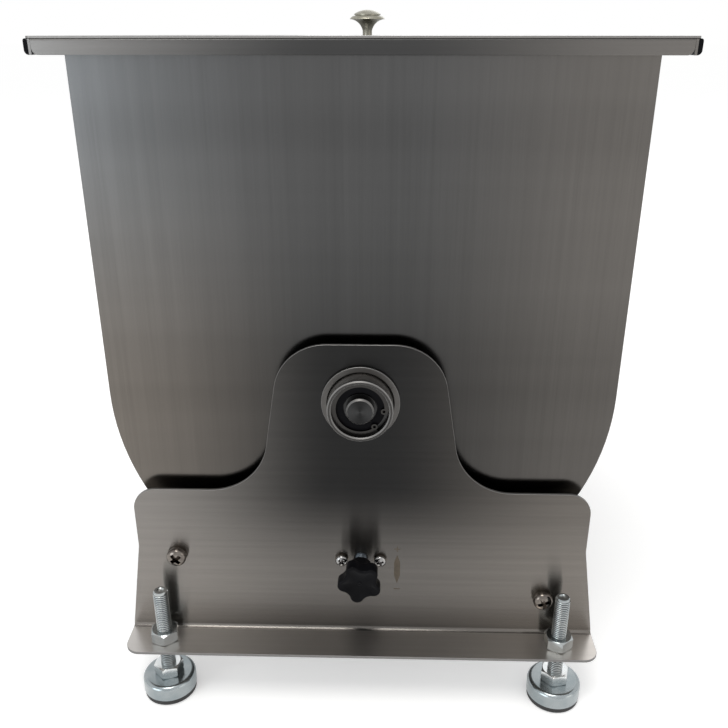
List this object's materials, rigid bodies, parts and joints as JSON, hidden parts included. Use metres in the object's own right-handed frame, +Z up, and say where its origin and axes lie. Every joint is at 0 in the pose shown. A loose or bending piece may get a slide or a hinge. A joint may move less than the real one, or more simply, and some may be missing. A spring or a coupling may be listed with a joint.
{
  "type": "tilting bowl mixer",
  "caption": "Hand-cranked food mixer: a round-bottomed steel bowl with a lid, tilting between two end plates on levelling feet, with a lock knob.",
  "frame": {"origin": "on the floor under the middle of the mixer's bounding box", "axes": "+X to the right as seen from the lock's end, +Y from the lock's end to the crank's end, +Z up"},
  "size_m": [0.346, 0.499, 0.4413],
  "materials": {
    "stainless": "satin, brushed",
    "bright_zinc": "bright zinc plate",
    "bearing_steel": "polished",
    "black_rubber": "matt",
    "black_plastic": "satin"
  },
  "bodies": {
    "frame": {"front_end_plate": "stainless", "rear_end_plate": "stainless", "front_pivot_collar": "stainless", "rear_pivot_collar": "stainless", "tie_rod_left": "stainless", "tie_rod_right": "stainless", "tie_rod_screws": "stainless", "tie_rod_spring_washers": "stainless", "tie_rod_flat_washers": "stainless", "foot_weld_nuts": "bright_zinc", "lock_block": "stainless", "lock_block_screws": "stainless", "lock_spring_washers": "stainless", "lock_flat_washers": "stainless"},
    "bowl": {"bowl_trough": "stainless", "bowl_front_wall": "stainless", "bowl_rear_wall": "stainless", "front_trunnion": "stainless", "rear_trunnion": "stainless", "front_bearing_outer_race": "bearing_steel", "rear_bearing_outer_race": "bearing_steel", "front_bearing_seals": "black_rubber", "rear_bearing_seals": "black_rubber", "front_circlip": "bearing_steel", "rear_circlip": "bearing_steel", "shaft_seals": "black_rubber"},
    "lid": {"lid_panel": "stainless", "lid_knob": "stainless", "lid_knob_screw": "stainless"},
    "agitator": {"agitator_shaft": "stainless", "paddle_1": "stainless", "paddle_2": "stainless", "paddle_3": "stainless", "paddle_4": "stainless", "paddle_bolts": "stainless", "bearing_inner_races": "bearing_steel", "bearing_balls": "bearing_steel", "crank_arm": "stainless", "crank_set_screw": "bright_zinc", "crank_grip_bolt": "stainless"},
    "crank_grip": {"crank_grip": "black_plastic"},
    "lock_pad": {"lock_pad": "black_plastic"},
    "lock_screw": {"lock_knob": "black_plastic", "lock_stud": "bright_zinc"},
    "foot_front_left": {"foot_front_left_stud": "bright_zinc", "foot_front_left_nut": "bright_zinc", "foot_front_left_cup": "bright_zinc", "foot_front_left_sole": "black_rubber"},
    "foot_front_right": {"foot_front_right_stud": "bright_zinc", "foot_front_right_nut": "bright_zinc", "foot_front_right_cup": "bright_zinc", "foot_front_right_sole": "black_rubber"},
    "foot_rear_left": {"foot_rear_left_stud": "bright_zinc", "foot_rear_left_nut": "bright_zinc", "foot_rear_left_cup": "bright_zinc", "foot_rear_left_sole": "black_rubber"},
    "foot_rear_right": {"foot_rear_right_stud": "bright_zinc", "foot_rear_right_nut": "bright_zinc", "foot_rear_right_cup": "bright_zinc", "foot_rear_right_sole": "black_rubber"}
  },
  "joints": [
    {"name": "bowl_tilt", "type": "hinge", "parent": "frame", "child": "bowl", "pos_m": [0, -0.04905, 0.2175], "axis": [0, 1, 0], "range_deg": [-53.5, 79.5]},
    {"name": "lid_lift", "type": "slide", "parent": "bowl", "child": "lid", "axis": [0, 0, 1], "range_m": [0, 0.12]},
    {"name": "agitator_turn", "type": "hinge", "parent": "bowl", "child": "agitator", "pos_m": [0, -0.04905, 0.2175], "axis": [0, 1, 0], "continuous": true},
    {"name": "crank_grip_turn", "type": "hinge", "parent": "agitator", "child": "crank_grip", "pos_m": [0, 0.20025, 0.0675], "axis": [0, 1, 0], "continuous": true},
    {"name": "lock_slide", "type": "slide", "parent": "frame", "child": "lock_pad", "axis": [0, -1, 0], "range_m": [0, 0.0013]},
    {"name": "lock_turn", "type": "hinge", "parent": "lock_pad", "child": "lock_screw", "pos_m": [0, -0.24705, 0.1022], "axis": [0, -1, 0], "range_deg": [0, 360]},
    {"name": "foot_front_left_height", "type": "slide", "parent": "frame", "child": "foot_front_left", "axis": [0, 0, -1], "range_m": [-0.018, 0.03]},
    {"name": "foot_front_right_height", "type": "slide", "parent": "frame", "child": "foot_front_right", "axis": [0, 0, -1], "range_m": [-0.018, 0.03]},
    {"name": "foot_rear_left_height", "type": "slide", "parent": "frame", "child": "foot_rear_left", "axis": [0, 0, -1], "range_m": [-0.018, 0.03]},
    {"name": "foot_rear_right_height", "type": "slide", "parent": "frame", "child": "foot_rear_right", "axis": [0, 0, -1], "range_m": [-0.018, 0.03]}
  ],
  "couplings": [
    {"joint": "lock_slide", "follows": "lock_turn", "m_per_rad": 0.00019894}
  ]
}
